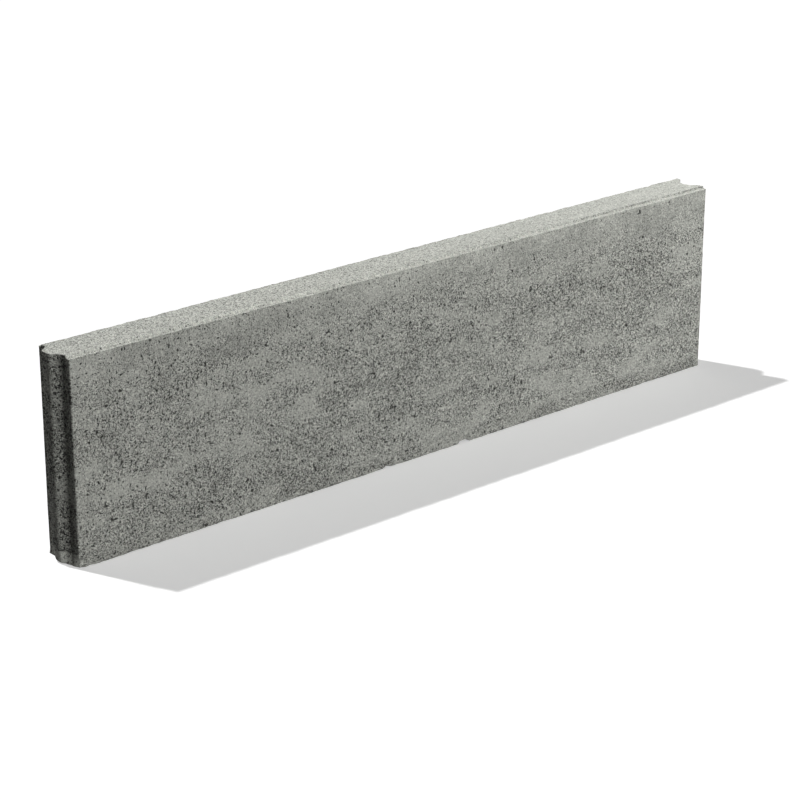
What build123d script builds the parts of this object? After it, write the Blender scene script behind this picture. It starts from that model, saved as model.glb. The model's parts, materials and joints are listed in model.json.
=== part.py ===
from build123d import *
import math
import os

# A concrete edging kerb, cast in one piece and standing on its bed. +X runs along its length,
# -Y is its front face and +Z is up. The origin is the middle of the bed between the shoulders.

# Kerb, in millimetres
kerb_length = 1000.0  # laid length, from shoulder to shoulder
kerb_height = 250.0
kerb_width = 60.0
corner_radius = 2.0  # upright edges of both ends

# Tongue on the left end, a rounded trapezoid in plan
tongue_reach = 11.0  # from the shoulders to the nose
tongue_root_width = 31.0  # between the flanks, at the shoulders
tongue_nose_width = 13.0  # between the flanks, at the nose
nose_radius = 5.0
root_radius = 3.0  # hollow where a flank meets its shoulder

# Toe of the tongue, set back all round above the bed
toe_height = 18.0
toe_slope_height = 4.0
toe_setback = 2.0

# Groove in the right end, for the tongue of the next kerb
joint_clearance = 1.0

# Pressed arris along each long top edge: a flat land at the face, then a steep slope up to the top
land_width = 5.0
slope_width = 1.5
slope_height = 3.0

# How far a cut runs past the faces that it opens
overrun = 5.0

left_end = -kerb_length / 2
right_end = kerb_length / 2
back_face = kerb_width / 2
shoulder_middle = (tongue_root_width + kerb_width) / 4
toe_top = toe_height + toe_slope_height


def key_corners(shoulder, inset):
    """Corners of the tongue in plan, from back root to front root, with every side moved in by the inset."""
    flank_run = (tongue_root_width - tongue_nose_width) / 2
    flank_length = math.hypot(tongue_reach, flank_run)
    reach = tongue_reach - inset
    root_half = tongue_root_width / 2 - inset * flank_length / tongue_reach
    nose_half = root_half - reach * flank_run / tongue_reach
    nose = shoulder - reach
    return [(shoulder, root_half), (nose, nose_half), (nose, -nose_half), (shoulder, -root_half)]


def tongue_plan(level, inset):
    """Plan of the tongue at a level above the bed, reaching back into the body from its shoulders."""
    seat = left_end + tongue_reach
    with BuildSketch(Plane.XY.offset(level)) as plan:
        with BuildLine():
            rim = FilletPolyline(
                (left_end, shoulder_middle),
                *key_corners(left_end, inset),
                (left_end, -shoulder_middle),
                radius=[root_radius, nose_radius, nose_radius, root_radius],
            )
            Polyline(rim @ 1, (seat, -shoulder_middle), (seat, shoulder_middle), rim @ 0)
        make_face()
    return plan.sketch


with BuildPart() as kerb_stone:
    # Body with the groove, which is the tongue's outline moved out by the clearance
    mouth_radius = root_radius + joint_clearance
    floor_radius = nose_radius + joint_clearance
    with BuildSketch():
        with BuildLine():
            FilletPolyline(
                (left_end, back_face),
                (left_end, -back_face),
                (right_end, -back_face),
                *reversed(key_corners(right_end, -joint_clearance)),
                (right_end, back_face),
                radius=[
                    *[corner_radius] * 3,
                    mouth_radius,
                    floor_radius,
                    floor_radius,
                    mouth_radius,
                    corner_radius,
                ],
                close=True,
            )
        make_face()
    extrude(amount=kerb_height)

    # Tongue, from its toe on the bed up to the top
    extrude(tongue_plan(0, toe_setback), amount=toe_height)
    loft([tongue_plan(toe_height, toe_setback), tongue_plan(toe_top, 0)], ruled=True)
    extrude(tongue_plan(toe_top, 0), amount=kerb_height - toe_top)

    # Arrises, pressed into both long top edges over the whole length
    slope_foot = back_face - land_width
    slope_head = slope_foot - slope_width
    land_level = kerb_height - slope_height
    with BuildSketch(Plane.YZ):
        with BuildLine():
            Polyline(
                (slope_head, kerb_height),
                (slope_foot, land_level),
                (back_face + overrun, land_level),
                (back_face + overrun, kerb_height + overrun),
                (slope_head, kerb_height + overrun),
                close=True,
            )
        make_face()
        mirror(about=Plane.YZ)
    extrude(amount=right_end + overrun, both=True, mode=Mode.SUBTRACT)

kerb_stone.part.label = "kerb_stone"
os.makedirs("parts", exist_ok=True)
export_step(kerb_stone.part, "parts/kerb_stone.step")
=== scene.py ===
# %% [markdown]
# # A concrete kerb stone
# An edging kerb is rammed from a stiff, sandy mix in a steel mould and stands on its narrow bed.
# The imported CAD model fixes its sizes. This lesson makes the surface that the plain solid lacks:
# crumbling edges, a pitted face and a cloudy grey. First the model is loaded and its box is kept.

# %% The CAD frame
import json
import math

import bmesh
import bpy
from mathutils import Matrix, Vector

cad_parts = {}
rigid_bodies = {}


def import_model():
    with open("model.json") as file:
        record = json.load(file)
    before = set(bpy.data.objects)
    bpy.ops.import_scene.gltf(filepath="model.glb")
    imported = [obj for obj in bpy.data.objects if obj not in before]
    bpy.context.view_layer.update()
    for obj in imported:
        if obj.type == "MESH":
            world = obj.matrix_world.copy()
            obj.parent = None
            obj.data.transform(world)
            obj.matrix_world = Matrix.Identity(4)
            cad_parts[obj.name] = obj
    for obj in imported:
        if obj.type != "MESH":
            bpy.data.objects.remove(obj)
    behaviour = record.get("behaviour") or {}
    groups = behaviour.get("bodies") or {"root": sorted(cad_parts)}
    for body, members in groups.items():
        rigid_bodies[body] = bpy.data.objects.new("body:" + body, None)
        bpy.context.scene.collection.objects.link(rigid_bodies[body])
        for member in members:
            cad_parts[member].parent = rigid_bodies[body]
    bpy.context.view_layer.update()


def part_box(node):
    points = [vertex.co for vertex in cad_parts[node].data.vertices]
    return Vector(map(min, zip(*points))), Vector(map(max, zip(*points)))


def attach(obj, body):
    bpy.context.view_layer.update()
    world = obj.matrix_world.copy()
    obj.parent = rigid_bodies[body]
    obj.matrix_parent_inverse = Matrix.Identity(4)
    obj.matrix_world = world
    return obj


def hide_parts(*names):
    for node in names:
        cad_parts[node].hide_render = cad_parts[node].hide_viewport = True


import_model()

# %% [markdown]
# Every size of the kerb's envelope is read from the frame, so the lesson follows the CAD model.
# The origin lies half-way between the two shoulders, so the left shoulder mirrors the right end.

# %% Sizes of the kerb, in metres
node_low, node_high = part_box("kerb_stone")
front_face = node_low.y
back_face = node_high.y
half_width = back_face
kerb_height = node_high.z
right_end = node_high.x
left_end = -right_end
tongue_reach = left_end - node_low.x
print("kerb", right_end - left_end, "long", 2 * half_width, "wide", kerb_height, "high")

# %% [markdown]
# ## Camera
# The kerb is looked down on from the front left with a long lens, so the far end is only about a
# sixth smaller than the near one. A camera could be aimed by eye. Here its place and turn come
# from fitting the kerb's corners.

# %% A long lens from the front left
camera_place = Vector((-1.8728, -2.1658, 1.1685))
camera_yaw = math.radians(40.76)
camera_dip = math.radians(21.05)
lens_length = 112.58  # millimetres, as Blender counts lenses

level = math.cos(camera_dip)
sight = Vector((math.sin(camera_yaw) * level, math.cos(camera_yaw) * level, -math.sin(camera_dip)))
sight_turn = sight.to_track_quat("-Z", "Y").to_euler()
bpy.ops.object.camera_add(location=camera_place, rotation=sight_turn)
camera = bpy.context.active_object
camera.data.lens = lens_length
bpy.context.scene.camera = camera
bpy.context.scene.view_settings.view_transform = "Standard"
print("camera at", camera.location, "with a lens of", lens_length, "mm")

# %% [markdown]
# ## Small helpers for shader nodes
# A node tree is easier to read when one line adds one node and says what feeds it. A socket feeds
# by a link, and a plain number or colour is set on the input itself.

# %% Feed, reckon and ease
def feed(tree, source, socket):
    """Links a socket to an input, or sets a plain value on it."""
    if isinstance(source, bpy.types.NodeSocket):
        tree.links.new(source, socket)
    else:
        socket.default_value = source


def reckon(tree, operation, *sources):
    """One Math node, worked out from sockets or numbers."""
    node = tree.nodes.new("ShaderNodeMath")
    node.operation = operation
    for source, socket in zip(sources, node.inputs):
        feed(tree, source, socket)
    return node.outputs["Value"]


def ramp_between(tree, value, low, high, at_low, at_high):
    """A value that eases from at_low to at_high while another goes from low to high."""
    node = tree.nodes.new("ShaderNodeMapRange")
    node.interpolation_type = "SMOOTHSTEP"
    names = ("Value", "From Min", "From Max", "To Min", "To Max")
    for source, name in zip((value, low, high, at_low, at_high), names):
        feed(tree, source, node.inputs[name])
    return node.outputs["Result"]


def blend(tree, mask, at_none, at_full):
    """A value that eases from at_none to at_full while a mask goes from 0 to 1."""
    return ramp_between(tree, mask, 0.0, 1.0, at_none, at_full)


print("helpers ready for Math and Map Range nodes")

# %% [markdown]
# ## Studio
# The kerb stands on a white floor that runs into a white background. A pale room would light the
# shaded end of the kerb too much, so the world and the floor are white only where they are looked
# at. Light that bounces off them finds a dim room, and the shaded end stays dark.

# %% Helpers for a node tree
def empty_tree(owner):
    """The node tree of a material or a world, with nothing in it."""
    owner.use_nodes = True
    owner.node_tree.nodes.clear()
    return owner.node_tree


def seen_directly(tree):
    """1 where the camera, a mirror or a glass looks at the surface, and 0 for light that bounces."""
    path = tree.nodes.new("ShaderNodeLightPath")
    shiny = reckon(tree, "MAXIMUM", path.outputs["Is Glossy Ray"], path.outputs["Is Transmission Ray"])
    return reckon(tree, "MAXIMUM", path.outputs["Is Camera Ray"], shiny)


print("helpers ready for the world and for materials")

# %% White world
room_glow = 0.02
white = (1.0, 1.0, 1.0, 1.0)

world = bpy.data.worlds.new("white_room")
bpy.context.scene.world = world
tree = empty_tree(world)
backdrop = tree.nodes.new("ShaderNodeBackground")
backdrop.inputs["Color"].default_value = white
feed(tree, blend(tree, seen_directly(tree), room_glow, 1.0), backdrop.inputs["Strength"])
world_end = tree.nodes.new("ShaderNodeOutputWorld")
tree.links.new(backdrop.outputs["Background"], world_end.inputs["Surface"])
print("world is white to the eye and", room_glow, "as a lamp")

# %% White floor
floor_size = 40.0

bpy.ops.object.select_all(action="DESELECT")
bpy.ops.mesh.primitive_plane_add(size=floor_size)
floor = bpy.context.active_object
floor.name = "floor"
print("floor", floor_size, "m across")

# %% Floor paint
floor_white = 0.95
floor_bounce = 0.04
floor_glow = 0.515

floor_paint = bpy.data.materials.new("white_floor")
tree = empty_tree(floor_paint)
looked_at = seen_directly(tree)
matt = tree.nodes.new("ShaderNodeBsdfDiffuse")
feed(tree, blend(tree, looked_at, floor_bounce, floor_white), matt.inputs["Color"])
lit = tree.nodes.new("ShaderNodeEmission")
feed(tree, reckon(tree, "MULTIPLY", looked_at, floor_glow), lit.inputs["Strength"])
both = tree.nodes.new("ShaderNodeAddShader")
tree.links.new(matt.outputs["BSDF"], both.inputs[0])
tree.links.new(lit.outputs["Emission"], both.inputs[1])
floor_end = tree.nodes.new("ShaderNodeOutputMaterial")
tree.links.new(both.outputs["Shader"], floor_end.inputs["Surface"])
floor.data.materials.append(floor_paint)
print("floor white of", floor_white, "with a glow of", floor_glow)

# %% [markdown]
# ## Plan of the kerb
# Seen from above, the kerb is a long strip with a rounded tongue at one end and a matching groove
# in the other, so that a row of kerbs locks together. The strip starts as a plane of its size. Its
# short edges are divided, pulled out or pushed in, and every corner is rounded by a vertex bevel.

# %% Helpers for edit mode
tiny = 0.00005
mesh_parts = {"VERT": "verts", "EDGE": "edges", "FACE": "faces"}


def choose(kind, test):
    """In edit mode, selects the vertices, edges or faces whose corner points pass the test."""
    bpy.ops.mesh.select_mode(type=kind)
    bpy.ops.mesh.select_all(action="DESELECT")
    mesh = bpy.context.edit_object.data
    shape = bmesh.from_edit_mesh(mesh)
    chosen = 0
    for part in getattr(shape, mesh_parts[kind]):
        points = [part.co] if kind == "VERT" else [corner.co for corner in part.verts]
        if test(points):
            part.select_set(True)
            chosen += 1
    shape.select_flush_mode()
    bmesh.update_edit_mesh(mesh)
    return chosen


def near(value, target):
    """True for two lengths that are the same but for rounding."""
    return abs(value - target) < tiny


print("lengths closer than", tiny, "count as equal")

# %% A plane of the kerb's length and width
bpy.ops.object.select_all(action="DESELECT")
bpy.ops.mesh.primitive_plane_add(size=1.0)
kerb = bpy.context.active_object
kerb.name = "cast_kerb"
bpy.ops.object.mode_set(mode="EDIT")
bpy.ops.transform.resize(value=(right_end - left_end, 2 * half_width, 1.0))
print("strip", right_end - left_end, "by", 2 * half_width)

# %% Tongue and groove in the short edges
root_half = 0.0155
nose_half = 0.0065
joint_clearance = 0.001
flank_turn = math.atan2(tongue_reach, root_half - nose_half)
cuts_per_end = 4


def shape_end(end, nose, root_y, nose_y):
    """Pulls the middle of a short edge out to a nose, or pushes it in, between two slanting flanks."""
    choose("EDGE", lambda points: all(near(p.x, end) for p in points))
    bpy.ops.mesh.subdivide(number_cuts=cuts_per_end)
    step = 2 * half_width / (cuts_per_end + 1)
    outer = half_width - step
    inner = outer - step
    choose("VERT", lambda points: near(points[0].x, end) and near(abs(points[0].y), outer))
    bpy.ops.transform.resize(value=(1.0, root_y / outer, 1.0))
    choose("VERT", lambda points: near(points[0].x, end) and near(abs(points[0].y), inner))
    bpy.ops.transform.resize(value=(1.0, nose_y / inner, 1.0))
    bpy.ops.transform.translate(value=(nose - end, 0.0, 0.0))


groove_floor = right_end - tongue_reach - joint_clearance
mouth_half = root_half + joint_clearance / math.sin(flank_turn)
groove_floor_half = nose_half + joint_clearance * math.tan(flank_turn / 2)
shape_end(left_end, left_end - tongue_reach, root_half, nose_half)
shape_end(right_end, groove_floor, mouth_half, groove_floor_half)
print("tongue out to", left_end - tongue_reach, "and groove in to", groove_floor)

# %% Rounded corners of the plan
nose_radius = 0.005
root_radius = 0.003
corner_radius = 0.002
round_steps = 4


def round_corners(place, radius, turn):
    """Rounds the corners of the plan that pass the test, each of which turns by the same angle."""
    found = choose("VERT", place)
    bpy.ops.mesh.bevel(affect="VERTICES", offset=radius * math.tan(turn / 2), segments=round_steps)
    print("rounded", found, "corners to", radius)


quarter_turn = math.pi / 2
flank_foot = half_width - 2 * corner_radius
round_corners(lambda points: near(abs(points[0].y), half_width), corner_radius, quarter_turn)
round_corners(lambda points: near(points[0].x, left_end - tongue_reach), nose_radius, flank_turn)
round_corners(lambda points: near(points[0].x, groove_floor), nose_radius + joint_clearance, flank_turn)
for end, radius in ((left_end, root_radius), (right_end, root_radius + joint_clearance)):
    round_corners(
        lambda points: near(points[0].x, end) and abs(points[0].y) < flank_foot, radius, flank_turn
    )

# %% [markdown]
# ## Body with pressed arrises
# The plan is extruded to the kerb's height. Along both long top edges the mould presses a narrow
# flat land and a short slope, which keeps the edge from chipping. Cutting planes mark the land and
# the slope, and the land is then moved down. More planes cut the top and the ends into small cells.

# %% Extrude to the height
bpy.ops.mesh.select_all(action="SELECT")
bpy.ops.mesh.extrude_region_move(TRANSFORM_OT_translate={"value": (0.0, 0.0, kerb_height)})
bpy.ops.mesh.select_all(action="SELECT")
bpy.ops.mesh.normals_make_consistent(inside=False)
print("extruded to", kerb_height)

# %% Cut the top into long strips
x_axis = 0
y_axis = 1
z_axis = 2
land_width = 0.005
slope_width = 0.0015
cell = 0.0028
land_steps = 2


def slice_kerb(axis, place):
    """Cuts the whole kerb by a plane across one axis."""
    normal = [0.0, 0.0, 0.0]
    normal[axis] = 1.0
    bpy.ops.mesh.select_all(action="SELECT")
    bpy.ops.mesh.bisect(plane_co=[place * part for part in normal], plane_no=normal)


slope_foot = half_width - land_width
slope_head = slope_foot - slope_width
top_strips = round(2 * slope_head / cell)
for strip in range(top_strips + 1):
    slice_kerb(y_axis, -slope_head + strip * 2 * slope_head / top_strips)
for step in range(land_steps):
    slice_kerb(y_axis, slope_foot + step * land_width / land_steps)
    slice_kerb(y_axis, -slope_foot - step * land_width / land_steps)
print("cut", top_strips, "strips between the slopes and", land_steps, "on each land")

# %% Cut across both ends
end_zone = 0.014

for step in range(1, round(tongue_reach / cell)):
    slice_kerb(x_axis, left_end - step * cell)
for step in range(1, round(end_zone / cell) + 1):
    slice_kerb(x_axis, left_end + step * cell)
groove_zone = right_end - groove_floor + end_zone
for step in range(1, round(groove_zone / cell) + 1):
    slice_kerb(x_axis, right_end - step * cell)
print("cut across", tongue_reach + end_zone, "of the left end and", groove_zone, "of the right end")

# %% Cut off a band at the foot and one at the top
slope_height = 0.003
rim_band = 0.012

land_level = kerb_height - slope_height
slice_kerb(z_axis, rim_band)
slice_kerb(z_axis, land_level - rim_band)
print("cut into", len(bmesh.from_edit_mesh(kerb.data).faces), "faces")

# %% Press the arrises
pressed = choose(
    "VERT", lambda points: near(points[0].z, kerb_height) and abs(points[0].y) > slope_foot - tiny
)
bpy.ops.transform.translate(value=(0.0, 0.0, -slope_height))
print("pressed", pressed, "points of the two arrises")

# %% [markdown]
# ## Fine cells
# Relief needs points to move. The upright edges are divided band by band, and the long edges in two
# goes, because one go makes at most a hundred cuts. The cells come out nearly square, and the whole
# kerb stays under two hundred thousand triangles.

# %% Divide the upright edges
def upright(points, low, high):
    """True for an upright edge inside a band of height."""
    a, b = points
    stands = near(a.x, b.x) and near(a.y, b.y)
    return stands and min(a.z, b.z) > low - tiny and max(a.z, b.z) < high + tiny


middle_high = land_level - rim_band
for low, high in ((0.0, rim_band), (rim_band, middle_high), (middle_high, kerb_height)):
    upright_edges = choose("EDGE", lambda points: upright(points, low, high))
    bpy.ops.mesh.subdivide(number_cuts=round((high - low) / cell) - 1)
    print("divided", upright_edges, "upright edges from", low, "to", high)

# %% Divide the long edges
long_cuts = (17, 19)

longest = (right_end - left_end) / 2
for cuts in long_cuts:
    choose("EDGE", lambda points: abs(points[0].x - points[1].x) > longest)
    bpy.ops.mesh.subdivide(number_cuts=cuts)
    longest = longest / (cuts + 1)
bpy.ops.mesh.select_all(action="SELECT")
bpy.ops.mesh.remove_doubles(threshold=tiny)
bpy.ops.mesh.normals_make_consistent(inside=False)
print(len(bmesh.from_edit_mesh(kerb.data).faces), "faces")

# %% [markdown]
# ## Toe of the tongue
# Just above the bed the tongue is set back a little all round, so that mortar squeezed up from the
# bed doesn't hold the next kerb off, and its lowest rim comes out of the mould rounded. The toe's
# points are drawn in towards the shoulder, and the rim under the nose is lifted with proportional
# editing, so that the lift fades out towards the shoulder and up the nose.

# %% Set the toe back
toe_top = 0.02
toe_share = 0.82


def on_tongue(point, low, high):
    """True for a point of the tongue between two heights."""
    return point.x < left_end - root_radius / 2 and low - tiny < point.z < high + tiny


shoulder_middle = (left_end, 0.0, 0.0)
toe_points = choose("VERT", lambda points: on_tongue(points[0], 0.0, toe_top))
bpy.ops.transform.resize(value=(toe_share, toe_share, 1.0), center_override=shoulder_middle)
print("set back", toe_points, "points of the toe")

# %% Round and lift its lowest rim
rim_shares = (0.82, 0.95)  # of the toe's reach, in the lowest row of points and in the next
rim_lift = 0.0015
rim_reach = 0.008

row_height = rim_band / round(rim_band / cell)
for row, share in enumerate(rim_shares):
    choose("VERT", lambda points: on_tongue(points[0], row * row_height, row * row_height))
    bpy.ops.transform.resize(value=(share, share, 1.0), center_override=shoulder_middle)
nose_line = left_end - rim_shares[0] * toe_share * tongue_reach
lifted = choose("VERT", lambda points: near(points[0].z, 0.0) and near(points[0].x, nose_line))
bpy.ops.transform.translate(
    value=(0.0, 0.0, rim_lift),
    use_proportional_edit=True,
    proportional_edit_falloff="LINEAR",
    proportional_size=rim_reach,
)
print("lifted", lifted, "points under the nose by", rim_lift)

# %% [markdown]
# ## Crumbled edges and an uneven face
# A stiff mix leaves edges that crumble a little and a face that is never quite flat. Sculpting
# would be slow to repeat, so cloud textures push the surface in by fractions of a millimetre. A
# vertex group holds the sharp edges, with less weight a cell or two away from them. A second one
# holds all that stands off the bed.

# %% Weights for the edges
edge_sharpness = math.radians(30.0)
edge_weights = ((2, 0.2), (1, 0.5), (0, 1.0))  # rings of cells around an edge, and their weight

kerb.vertex_groups.new(name="edges")
for rings, weight in edge_weights:
    bpy.ops.mesh.select_all(action="DESELECT")
    bpy.ops.mesh.select_mode(type="EDGE")
    bpy.ops.mesh.edges_select_sharp(sharpness=edge_sharpness)
    bpy.ops.mesh.select_mode(type="VERT")
    for ring in range(rings):
        bpy.ops.mesh.select_more()
    bpy.context.scene.tool_settings.vertex_group_weight = weight
    bpy.ops.object.vertex_group_assign()
spared = choose("VERT", lambda points: on_tongue(points[0], 0.0, toe_top))
bpy.ops.object.vertex_group_remove_from()
print("edges weighted, with", spared, "points of the toe spared")

# %% Weights for the faces
kerb.vertex_groups.new(name="faces")
face_points = choose("VERT", lambda points: points[0].z > tiny)
bpy.context.scene.tool_settings.vertex_group_weight = 1.0
bpy.ops.object.vertex_group_assign()
bpy.ops.object.mode_set(mode="OBJECT")
print(face_points, "points off the bed")

# %% Push the relief in
def sink(name, group, patch_size, depth, layers, brightness, contrast):
    """Sinks the surface along its normals, by up to a depth, where a cloud texture is dark."""
    texture = bpy.data.textures.new(name, "CLOUDS")
    texture.noise_scale = patch_size
    texture.noise_depth = layers
    texture.intensity = brightness
    texture.contrast = contrast
    relief = kerb.modifiers.new(name, "DISPLACE")
    relief.texture = texture
    relief.texture_coords = "LOCAL"
    relief.strength = depth
    relief.mid_level = 1.0
    relief.vertex_group = group
    bpy.ops.object.modifier_apply(modifier=name)
    print("sank", group, "by up to", depth, "in patches of", patch_size)


sink("slow_waves", "faces", patch_size=0.07, depth=0.0004, layers=1, brightness=1.0, contrast=1.0)
sink("sandy_face", "faces", patch_size=0.008, depth=0.0003, layers=2, brightness=1.0, contrast=1.2)
sink("crumbled_edges", "edges", patch_size=0.004, depth=0.0006, layers=1, brightness=1.15, contrast=1.6)
sink("broken_edges", "edges", patch_size=0.016, depth=0.0007, layers=1, brightness=1.5, contrast=2.6)

# %% [markdown]
# ## Chips and a worn corner
# Two small chips are broken out of the lower front edge, and the foot of the front corner beside
# the tongue is worn. A boolean cut would leave crisp rims. Each of these is instead a pull on a few
# points that fades out over a radius, as proportional editing does.

# %% Break out the chips
chip_depth = 0.0012


def break_out(along, radius, height):
    """Pulls a chip in and up out of the lower front edge."""
    chip_place = Vector((along, front_face, 0.0))
    chip_points = choose("VERT", lambda points: (points[0] - chip_place).length < radius)
    bpy.ops.transform.translate(
        value=(0.0, chip_depth, height),
        use_proportional_edit=True,
        proportional_edit_falloff="SPHERE",
        proportional_size=radius,
    )
    print("chip of", chip_points, "points at", chip_place)


bpy.ops.object.mode_set(mode="EDIT")
break_out(along=0.074, radius=0.005, height=0.0026)
break_out(along=-0.0515, radius=0.003, height=0.0016)

# %% Wear the foot of the front corner
worn_height = 0.012
worn_core = 0.0025
worn_reach = 0.011
worn_pull = 0.0026


def on_worn_corner(point):
    """True for a point of the upright front corner beside the tongue, close to the bed."""
    beside = point.x < left_end + worn_core and point.y < front_face + worn_core
    return beside and point.z < worn_height


worn_points = choose("VERT", lambda points: on_worn_corner(points[0]))
bpy.ops.transform.translate(
    value=(worn_pull, worn_pull, 0.0),
    use_proportional_edit=True,
    proportional_edit_falloff="SHARP",
    proportional_size=worn_reach,
)
print("wore", worn_points, "points of the foot corner")

# %% [markdown]
# ## Walls of the mould
# Nothing on a cast kerb can stand out past the mould that it came from, but relief along slanted
# normals can push a few points there. They are selected wall by wall and scaled flat onto the wall.
# After that the faces are shaded smooth, except across edges that are really sharp.

# %% Press back what stands proud
mould_walls = (
    (x_axis, node_low.x, -1.0),
    (x_axis, node_high.x, 1.0),
    (y_axis, front_face, -1.0),
    (y_axis, back_face, 1.0),
    (z_axis, node_low.z, -1.0),
    (z_axis, kerb_height, 1.0),
)
for axis, wall, outward in mould_walls:
    proud = choose("VERT", lambda points: (points[0][axis] - wall) * outward > 0.0)
    flat = [1.0, 1.0, 1.0]
    flat[axis] = 0.0
    centre = [0.0, 0.0, 0.0]
    centre[axis] = wall
    if proud:
        bpy.ops.transform.resize(value=flat, center_override=centre)
    print(proud, "points pressed back to", wall, "on axis", axis)

# %% Shade the faces smooth
smooth_degrees = 35.0

bpy.ops.object.mode_set(mode="OBJECT")
bpy.ops.object.shade_smooth_by_angle(angle=math.radians(smooth_degrees))
print("shaded smooth, except where faces turn by more than", smooth_degrees, "degrees")

# %% [markdown]
# ## Grain shared by every face
# All faces are the same sandy mix: grains of sand, blotches where the mix was drier or wetter, pits
# between the grains and soft clouds of paste. A picture of concrete would not fit other sides, so
# each of these is noise of the right size. What the skins share is built once as node groups. Each
# group is given Object coordinates in metres, so a size given to it is the size on the real kerb.

# %% Node group helper
float_socket = "NodeSocketFloat"
vector_socket = "NodeSocketVector"


def new_group(name, values, result):
    """A node group that takes a place and some values, and gives one result."""
    group = bpy.data.node_groups.new(name, "ShaderNodeTree")
    group.interface.new_socket("Place", in_out="INPUT", socket_type=vector_socket)
    for value in values:
        group.interface.new_socket(value, in_out="INPUT", socket_type=float_socket)
    group.interface.new_socket(result, in_out="OUTPUT", socket_type=float_socket)
    given = group.nodes.new("NodeGroupInput").outputs
    wanted = group.nodes.new("NodeGroupOutput").inputs[result]
    print("group", name, "gives", result)
    return group, given, wanted


# %% Sand grains
sand_grains, given, wanted = new_group("sand_grains", ("Size",), "Grain")
cells = sand_grains.nodes.new("ShaderNodeTexVoronoi")
feed(sand_grains, given["Place"], cells.inputs["Vector"])
feed(sand_grains, reckon(sand_grains, "DIVIDE", 1.0, given["Size"]), cells.inputs["Scale"])
sand_grains.links.new(cells.outputs["Color"], wanted)

# %% Blotches
blotch_layers = 2.0
blotch_roughness = 0.7


def noise(tree, place, size, layers, roughness):
    """Noise from 0 to 1 that repeats its blobs about once in the given size."""
    node = tree.nodes.new("ShaderNodeTexNoise")
    feed(tree, place, node.inputs["Vector"])
    feed(tree, reckon(tree, "DIVIDE", 1.0, size), node.inputs["Scale"])
    node.inputs["Detail"].default_value = layers
    node.inputs["Roughness"].default_value = roughness
    return node.outputs["Fac"]


blotches, given, wanted = new_group("blotches", ("Size",), "Blotch")
blotch = noise(blotches, given["Place"], given["Size"], blotch_layers, blotch_roughness)
blotches.links.new(blotch, wanted)

# %% Pits
pit_layers = 1.0
pit_roughness = 0.6
brim_top = 0.8  # level of the noise at a pit's brim for a share of 0
brim_fall = 0.4  # how far the brim comes down for a share of 1
brim_width = 0.05

pits, given, wanted = new_group("pits", ("Size", "Share"), "Pit")
hollow = noise(pits, given["Place"], given["Size"], pit_layers, pit_roughness)
brim = reckon(pits, "SUBTRACT", brim_top, reckon(pits, "MULTIPLY", given["Share"], brim_fall))
pit_floor = reckon(pits, "ADD", brim, brim_width)
pits.links.new(ramp_between(pits, hollow, brim, pit_floor, 0.0, 1.0), wanted)

# %% Clouds
cloud_layers = 3.0
cloud_roughness = 0.55
cloud_stretch = 0.4
cloud_low = 0.3
cloud_high = 0.7


def stretched(tree, place, along=1.0, upward=1.0):
    """The place scaled along or up the kerb, so that a pattern on it is drawn out that way."""
    node = tree.nodes.new("ShaderNodeVectorMath")
    node.operation = "MULTIPLY"
    feed(tree, place, node.inputs[0])
    node.inputs[1].default_value = (along, 1.0, upward)
    return node.outputs["Vector"]


clouds, given, wanted = new_group("clouds", ("Size",), "Cloud")
drawn_out = stretched(clouds, given["Place"], along=cloud_stretch)
cloud = noise(clouds, drawn_out, given["Size"], cloud_layers, cloud_roughness)
clouds.links.new(ramp_between(clouds, cloud, cloud_low, cloud_high, 0.0, 1.0), wanted)

# %% Put a group to use
pattern_middle = 0.5


def pattern(tree, group, place, **values):
    """Places a node group in a material with its own values and gives its result."""
    node = tree.nodes.new("ShaderNodeGroup")
    node.node_tree = group
    feed(tree, place, node.inputs["Place"])
    for name, value in values.items():
        feed(tree, value, node.inputs[name])
    return node.outputs[0]


def centred(tree, value, spread):
    """A pattern from 0 to 1 turned into a swing around nothing."""
    return reckon(tree, "MULTIPLY", reckon(tree, "SUBTRACT", value, pattern_middle), spread)


print("groups", [group.name for group in bpy.data.node_groups])

# %% [markdown]
# ## Concrete shader
# Every skin ends in the same shader: one grey, multiplied by a tone that the skin works out, with
# its relief as a bump. The gloss is low, because dry concrete scatters nearly all its light.

# %% Concrete shader
concrete_grey = (0.437, 0.444, 0.407, 1.0)
concrete_gloss = 0.2
darkest_tone = 0.05
bump_unit = 0.001
first_colour = 6  # numbers of a Mix node's colour sockets, whose names repeat
second_colour = 7
mixed_colour = 2


def concrete(name, tree, tone, height, roughness):
    """The shader: grey times a tone, with a bump height in millimetres."""
    tint = tree.nodes.new("ShaderNodeMix")
    tint.data_type = "RGBA"
    tint.blend_type = "MULTIPLY"
    tint.inputs["Factor"].default_value = 1.0
    tint.inputs[first_colour].default_value = concrete_grey
    feed(tree, reckon(tree, "MAXIMUM", tone, darkest_tone), tint.inputs[second_colour])
    bump = tree.nodes.new("ShaderNodeBump")
    bump.inputs["Distance"].default_value = bump_unit
    feed(tree, height, bump.inputs["Height"])
    shader = tree.nodes.new("ShaderNodeBsdfPrincipled")
    shader.inputs["Specular IOR Level"].default_value = concrete_gloss
    feed(tree, tint.outputs[mixed_colour], shader.inputs["Base Color"])
    feed(tree, roughness, shader.inputs["Roughness"])
    feed(tree, bump.outputs["Normal"], shader.inputs["Normal"])
    end = tree.nodes.new("ShaderNodeOutputMaterial")
    tree.links.new(shader.outputs["BSDF"], end.inputs["Surface"])
    print("material", name, "with", len(tree.nodes), "nodes")


print("concrete grey", concrete_grey)

# %% [markdown]
# ## Cast skin
# The front, the back and the ends took their skin from the mould. One big node tree for it would be
# hard to read, so each thing that shows on it is a small function that gives a mask or a tone, with
# its sizes in metres and its strengths as shares of the grey. The last function adds them up.

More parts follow.
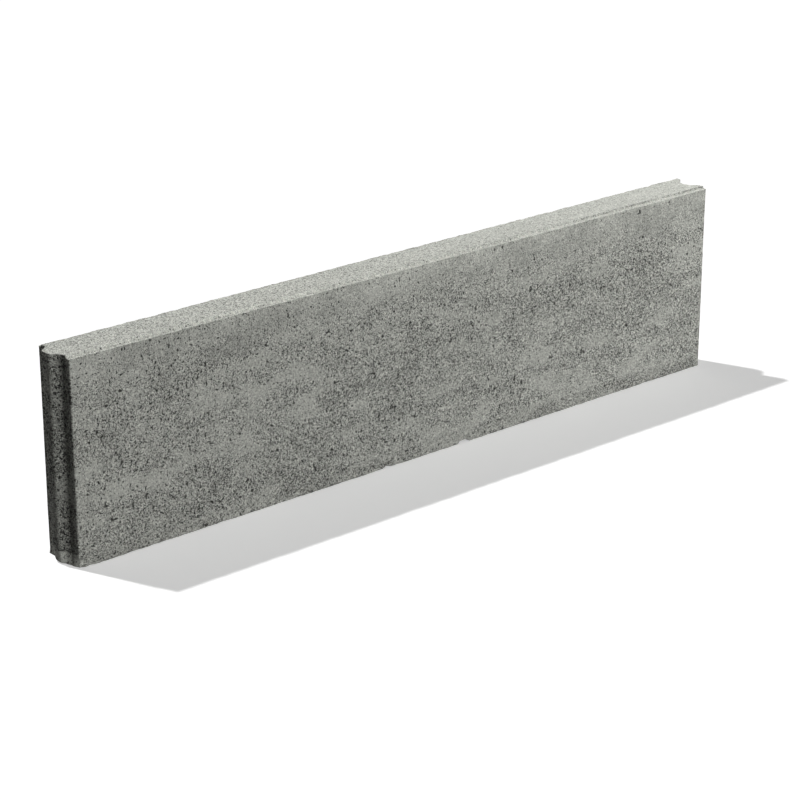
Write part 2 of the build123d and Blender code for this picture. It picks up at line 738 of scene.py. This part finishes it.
# %% Sums, products and the largest
def combined(tree, operation, values):
    """Several values taken together by one operation."""
    result = values[0]
    for value in values[1:]:
        result = reckon(tree, operation, result, value)
    return result


def total(tree, *values):
    """The sum of several values."""
    return combined(tree, "ADD", values)


def product(tree, *values):
    """Several values multiplied with each other."""
    return combined(tree, "MULTIPLY", values)


def largest(tree, *values):
    """The largest of several values."""
    return combined(tree, "MAXIMUM", values)


print("values can be added, multiplied and compared")

# %% Place on the kerb
def skin_axes(tree):
    """The place on the kerb, and its X, Y and Z apart, in metres."""
    place = tree.nodes.new("ShaderNodeTexCoord").outputs["Object"]
    axes = tree.nodes.new("ShaderNodeSeparateXYZ")
    feed(tree, place, axes.inputs["Vector"])
    return place, axes.outputs


def along_kerb(tree, along, at_left, at_right):
    """A value that eases from one at the left end to another at the right end."""
    return ramp_between(tree, along, left_end, right_end, at_left, at_right)


print("skins may change between", left_end, "and", right_end)

# %% [markdown]
# ### Patches of paste
# A smooth paste covers the sand in patches. Clouds of one size would look like spots, so broad and
# small clouds are added up, and both also mottle the grey.

# %% Patches of paste
broad_patch = 0.1
small_patch = 0.024
broad_paste = 0.5
paste_start = 0.55
paste_full = 1.45
paste_most = 0.8
broad_swing = 0.13
small_swing = 0.22


def paste_patches(tree, place):
    """The small clouds, the mask of the paste and the tone of the mottling."""
    broad = pattern(tree, clouds, place, Size=broad_patch)
    small = pattern(tree, clouds, place, Size=small_patch)
    closeness = total(tree, small, product(tree, broad, broad_paste))
    paste = ramp_between(tree, closeness, paste_start, paste_full, 0.0, paste_most)
    mottle = total(tree, centred(tree, broad, broad_swing), centred(tree, small, small_swing))
    return small, paste, mottle


print("paste in patches of", broad_patch, "and", small_patch)

# %% [markdown]
# ### Smear under the top
# Just under the top the tamper smeared the paste into faint upright streaks. Noise that is drawn
# out upwards gives the streaks, and the small clouds keep the smear from ending in a straight line.

# %% Smear under the top
smear_ripple = 0.04
smear_blend = 0.05
left_smear = 0.75
streak_size = 0.006
streak_stretch = 0.06
streak_swing = 0.5


def top_smear(tree, place, upward, far_side, small, reach):
    """The mask of the smear, which reaches down from the top, and the tone of its streaks."""
    smear_foot = total(tree, kerb_height - reach, centred(tree, small, smear_ripple))
    smear_top = total(tree, smear_foot, smear_blend)
    smear = ramp_between(tree, upward, smear_foot, smear_top, 0.0, 1.0)
    smear = product(tree, smear, blend(tree, far_side, left_smear, 1.0))
    drawn_up = stretched(tree, place, upward=streak_stretch)
    streaks = pattern(tree, blotches, drawn_up, Size=streak_size)
    return smear, product(tree, smear, centred(tree, streaks, streak_swing))


print("streaks", streak_size, "wide")

# %% [markdown]
# ### Foot and crease
# At the foot the skin is closer again, with painted shade along the foot of the long sides and painted
# light on the foot of the tongue's end. A broken crease runs above the toe of the tongue, painted dark
# as the shade in it. Both follow one wavy line above the bed. A crease in the mesh would need far
# smaller cells, so it is a row of pits along that line.

# %% Foot and crease
foot_level = 0.0155
foot_ripple = 0.006
foot_blend = 0.003
crease_half = 0.0028
crease_share = 0.95
crease_least = 0.5
hole_size = 0.0062


def close_foot(tree, upward, small, cover):
    """The wavy line above the bed, and the mask of the close skin under it, where the foot shading is
    painted.
    """
    foot_line = total(tree, foot_level, centred(tree, small, foot_ripple))
    foot_end = total(tree, foot_line, foot_blend)
    return foot_line, ramp_between(tree, upward, foot_line, foot_end, cover, 0.0)


def foot_crease(tree, place, upward, far_side, foot_line, shade_depth):
    """The mask of the crease's painted shade, which is at the tongue's end alone."""
    off_line = reckon(tree, "ABSOLUTE", reckon(tree, "SUBTRACT", upward, foot_line))
    broken = pattern(tree, pits, place, Size=hole_size, Share=crease_share)
    tongue_side = blend(tree, far_side, 1.0, 0.0)
    on_line = ramp_between(tree, off_line, 0.0, crease_half, shade_depth, 0.0)
    return product(tree, tongue_side, on_line, blend(tree, broken, crease_least, 1.0))


print("foot up to", foot_level, "with a crease", 2 * crease_half, "high")

# %% [markdown]
# ### Bare sand
# Sand shows where the mix was dry: single grains, blotches that lie flat and pale specks. It is
# quieter under the paste, so one loudness scales all three.

# %% Bare sand
grain_size = 0.0012
grain_swing = 2.2
blotch_size = 0.009
blotch_stretch = 0.6
blotch_swing = 0.45
pale_size = 0.0034
pale_share = 0.36
pale_gain = 0.2
quiet_share = 0.52


def bare_sand(tree, place, smooth, loudness):
    """The tone of grains, blotches and pale specks."""
    grain = centred(tree, pattern(tree, sand_grains, place, Size=grain_size), grain_swing)
    lying = stretched(tree, place, along=blotch_stretch)
    blotch = centred(tree, pattern(tree, blotches, lying, Size=blotch_size), blotch_swing)
    pale = pattern(tree, pits, place, Size=pale_size, Share=pale_share)
    loudness = product(tree, loudness, blend(tree, smooth, 1.0, quiet_share))
    return product(tree, loudness, total(tree, grain, blotch, product(tree, pale, pale_gain)))


print("grains of", grain_size, "and blotches of", blotch_size)

# %% [markdown]
# ### Pits and holes
# Pits lie between the grains, painted dark as the shade inside them and pressed in as a bump, and
# there are fewer of them under the paste and towards the grooved end. The same group at two sizes
# gives pits and holes, and the darker of the two counts.

# %% Pits and holes
pit_size = 0.003
hole_share = 0.65
left_pits = 0.045
right_pits = -0.03


def open_pits(tree, place, along, smooth, few_pits, many_pits):
    """The mask of pits and holes, which is painted dark as their shade and pressed in as a bump."""
    share = blend(tree, smooth, many_pits, few_pits)
    share = total(tree, share, along_kerb(tree, along, left_pits, right_pits))
    pit = pattern(tree, pits, place, Size=pit_size, Share=share)
    hole = pattern(tree, pits, place, Size=hole_size, Share=product(tree, share, hole_share))
    return largest(tree, pit, hole)


print("pits of", pit_size, "and holes of", hole_size)

# %% [markdown]
# ### Upper edge
# The face is painted paler towards the land as a highlight, most of all in the middle of the kerb's
# length, and the pressed slope above the land is painted pale at the tongue and dark at the groove as
# its light and shade. Both are tones that depend on the height alone and are scaled along the kerb.

# %% Upper edge
rim_fade = 0.032
rim_full = 0.002
rim_run = 0.3
# Strength of the painted highlight on the rim under the land.
rim_highlight_gain = 0.2
rim_highlight_right = 0.4
slope_blend = 0.00075
# Painted light at the tongue's end of the slope and painted shade at the groove's end.
slope_shading_left = 0.2
slope_shading_right = -0.35


def upper_edge(tree, along, upward, far_side):
    """The painted light and shade of the pressed slope, and the painted highlight of the paler rim
    under the land.
    """
    on_slope = ramp_between(tree, upward, land_level, land_level + slope_blend, 0.0, 1.0)
    slope_shading = product(tree, on_slope, along_kerb(tree, along, slope_shading_left, slope_shading_right))
    rim = ramp_between(tree, upward, land_level - rim_fade, land_level - rim_full, 0.0, 1.0)
    rim = product(tree, rim, ramp_between(tree, along, left_end, left_end + rim_run, 0.0, rim_highlight_gain))
    return slope_shading, product(tree, rim, blend(tree, far_side, 1.0, rim_highlight_right))


print("paler rim from", land_level - rim_fade, "up to", land_level)

# %% [markdown]
# ### Sides and ends
# The long sides are smeared far below the top, with painted shade at the foot. The ends are rawer,
# with more pits, hardly any smear, and at the tongue painted light on the foot under the crease. One
# function mixes both skins, because they differ only in the values that it is given.

# %% Mix a cast skin
# Pits, holes and the crease are painted down to this share of the grey as the shade in them.
pit_shade = 0.17
sand_relief = 0.2  # bump heights in millimetres
pit_relief = -0.5
bare_roughness = 0.95
paste_roughness = 0.8


def make_cast(
    name,
    left_loudness,
    right_loudness,
    few_pits,
    many_pits,
    smear_reach,
    foot_cover,
    left_foot_shading,
    right_foot_shading,
    crease_shade,
):
    """Concrete that was cast against the mould. The smear reaches down from the top."""
    material = bpy.data.materials.new(name)
    tree = empty_tree(material)
    place, axes = skin_axes(tree)
    along = axes["X"]
    upward = axes["Z"]
    far_side = ramp_between(tree, along, 0.0, right_end, 0.0, 1.0)

    small, paste, mottle = paste_patches(tree, place)
    smear, streak = top_smear(tree, place, upward, far_side, small, smear_reach)
    foot_line, foot = close_foot(tree, upward, small, foot_cover)
    smooth = largest(tree, paste, smear, foot)
    sandy = bare_sand(tree, place, smooth, along_kerb(tree, along, left_loudness, right_loudness))
    crease = foot_crease(tree, place, upward, far_side, foot_line, crease_shade)
    # Pits, holes and the crease are the shaded hollows: painted dark as shade, and pressed in as a
    # bump.
    shaded_hollows = largest(tree, open_pits(tree, place, along, smooth, few_pits, many_pits), crease)
    # Painted foot shading: shade along the foot of the long sides, light on the foot of the tongue's
    # end.
    foot_shading = product(tree, foot, along_kerb(tree, along, left_foot_shading, right_foot_shading))
    # Painted light and shade on the pressed slope, and a painted highlight on the rim under the land.
    slope_shading, rim_highlight = upper_edge(tree, along, upward, far_side)

    tone = total(tree, 1.0, mottle, sandy, streak, foot_shading, slope_shading, rim_highlight)
    tone = product(tree, tone, blend(tree, shaded_hollows, 1.0, pit_shade))
    height = total(tree, product(tree, sandy, sand_relief), product(tree, shaded_hollows, pit_relief))
    roughness = blend(tree, smooth, bare_roughness, paste_roughness)
    concrete(name, tree, tone, height, roughness)
    return material


print("cast skins have a roughness from", paste_roughness, "to", bare_roughness)

# %% Cast sides and raw ends
cast_side = make_cast(
    "cast_side",
    left_loudness=0.874,
    right_loudness=1.09,
    few_pits=0.36,
    many_pits=0.47,
    smear_reach=0.065,
    foot_cover=0.3,
    # Painted shade along the foot, more towards the grooved end.
    left_foot_shading=-0.15,
    right_foot_shading=-0.6,
    crease_shade=0.0,
)
raw_end = make_cast(
    "raw_end",
    left_loudness=1.14,
    right_loudness=1.0,
    few_pits=0.4,
    many_pits=0.5,
    smear_reach=0.004,
    foot_cover=0.9,
    # Painted light on the tongue's foot, and painted shade in the crease.
    left_foot_shading=1.1,
    right_foot_shading=0.0,
    crease_shade=1.0,
)

# %% [markdown]
# ## Struck top
# The top was struck off and pressed from above, so its skin is finer, closer and more even, and it
# is the most even towards the grooved end. A highlight is painted along the outer edge of each land,
# and the pits are painted darker as the shade in them. The same groups give all of this with quieter
# values, so no new pattern is needed.

# %% Struck top
top_patch = 0.03
top_patch_swing = 0.06
top_grain_swing = 1.6
top_right_share = 0.6
top_pit = 0.003
top_pit_share = 0.48
# Pits on the top are painted down to this share of the grey as the shade in them.
top_pit_shade = 0.45
top_pit_relief = -0.3
top_roughness = 0.92
# Width, core and strength of the painted highlight along the outer edge of each land.
highlight_width = 0.003
highlight_core = 0.0014
highlight_gain = 0.22


def make_struck_top(name):
    """Concrete that was struck off and pressed."""
    material = bpy.data.materials.new(name)
    tree = empty_tree(material)
    place, axes = skin_axes(tree)
    evenness = along_kerb(tree, axes["X"], 1.0, top_right_share)
    small = pattern(tree, clouds, place, Size=top_patch)
    grain = pattern(tree, sand_grains, place, Size=grain_size)
    pit = product(tree, evenness, pattern(tree, pits, place, Size=top_pit, Share=top_pit_share))
    sandy = product(tree, evenness, centred(tree, grain, top_grain_swing))
    off_middle = reckon(tree, "ABSOLUTE", axes["Y"])
    highlight_start = half_width - highlight_width
    highlight_full = half_width - highlight_core
    # A painted highlight along the outer edge of each land.
    edge_highlight = ramp_between(tree, off_middle, highlight_start, highlight_full, 0.0, highlight_gain)
    tone = total(tree, 1.0, centred(tree, small, top_patch_swing), sandy, edge_highlight)
    # Pits are painted darker as their shade.
    tone = product(tree, tone, blend(tree, pit, 1.0, top_pit_shade))
    height = total(tree, product(tree, sandy, sand_relief), product(tree, pit, top_pit_relief))
    concrete(name, tree, tone, height, top_roughness)
    return material


struck_top = make_struck_top("struck_top")

# %% [markdown]
# ## Skins on the faces
# Each face takes the skin of the side that it lies on. By hand one would select side by side. Here
# the way that a face looks tells its side: upwards near the top, lengthwise at the ends, and all
# others are cast sides.

# %% Give each face its skin
facing = 0.5

skins = (cast_side, struck_top, raw_end)
for skin in skins:
    kerb.data.materials.append(skin)
counts = [0 for skin in skins]
for face in kerb.data.polygons:
    if face.normal.z > facing and face.center.z > land_level - slope_height:
        face.material_index = skins.index(struck_top)
    elif abs(face.normal.x) > facing and abs(face.center.x) > groove_floor - tiny:
        face.material_index = skins.index(raw_end)
    counts[face.material_index] += 1
print(counts, "faces of cast side, struck top and raw end")

# %% [markdown]
# ## Lamps
# Two wide, soft suns in front model the face, and one from above lights the top. Two from behind
# keep the back and the far flank of the tongue from going black, and two soft boxes brighten the
# face and the top towards the grooved end. All of these shine on the kerb alone, so that they
# don't grey the floor. One more sun from behind shines on the floor alone and gives the one
# shadow that the floor keeps.

# %% What the lamps shine on
lit_kerb = bpy.data.collections.new("lit_kerb")
lit_kerb.objects.link(kerb)
lit_floor = bpy.data.collections.new("lit_floor")
lit_floor.objects.link(floor)
print("lamps shine on", lit_kerb.name, "or on", lit_floor.name)

# %% Suns
def sun(name, lit, strength, softness, towards):
    """A soft sun in a direction from the kerb, which shines on what a collection holds."""
    turn = Vector(towards).to_track_quat("Z", "Y").to_euler()
    bpy.ops.object.light_add(type="SUN", rotation=turn)
    lamp = bpy.context.active_object
    lamp.name = name
    lamp.data.energy = strength * math.pi
    lamp.data.angle = math.radians(softness)
    lamp.light_linking.receiver_collection = lit
    print(name, "of", strength, "times white, for", lit.name)


sun("shadow_sun", lit_floor, strength=0.63, softness=1.5, towards=(-0.171, 0.43, 0.889))
sun("top_sun", lit_kerb, strength=0.585, softness=12.0, towards=(0.1, 0.15, 0.98))
sun("front_sun", lit_kerb, strength=0.312, softness=40.0, towards=(0.587, -0.4925, 0.643))
sun("front_fill", lit_kerb, strength=0.362, softness=28.0, towards=(0.12, -0.93, 0.33))
sun("back_fill", lit_kerb, strength=0.38, softness=30.0, towards=(0.3, 0.94, 0.12))
sun("nose_fill", lit_kerb, strength=0.09, softness=20.0, towards=(-0.45, 0.86, 0.2))

# %% Soft boxes
box_power = 2.4
box_size = 0.3


def soft_box(name, place, aim):
    """A square lamp at a place, turned to a point on the kerb."""
    turn = (place - aim).to_track_quat("Z", "Y").to_euler()
    bpy.ops.object.light_add(type="AREA", location=place, rotation=turn)
    lamp = bpy.context.active_object
    lamp.name = name
    lamp.data.size = box_size
    lamp.data.energy = box_power
    lamp.light_linking.receiver_collection = lit_kerb
    print(name, "of", box_power, "watts at", place)


soft_box("side_lamp", place=Vector((0.95, -0.75, 0.2)), aim=Vector((0.4, 0.0, 0.12)))
soft_box("far_top_lamp", place=Vector((0.8, 0.1, 1.0)), aim=Vector((0.5, 0.0, 0.25)))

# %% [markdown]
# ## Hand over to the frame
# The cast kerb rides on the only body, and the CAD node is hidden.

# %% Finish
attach(kerb, "root")
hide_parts("kerb_stone")
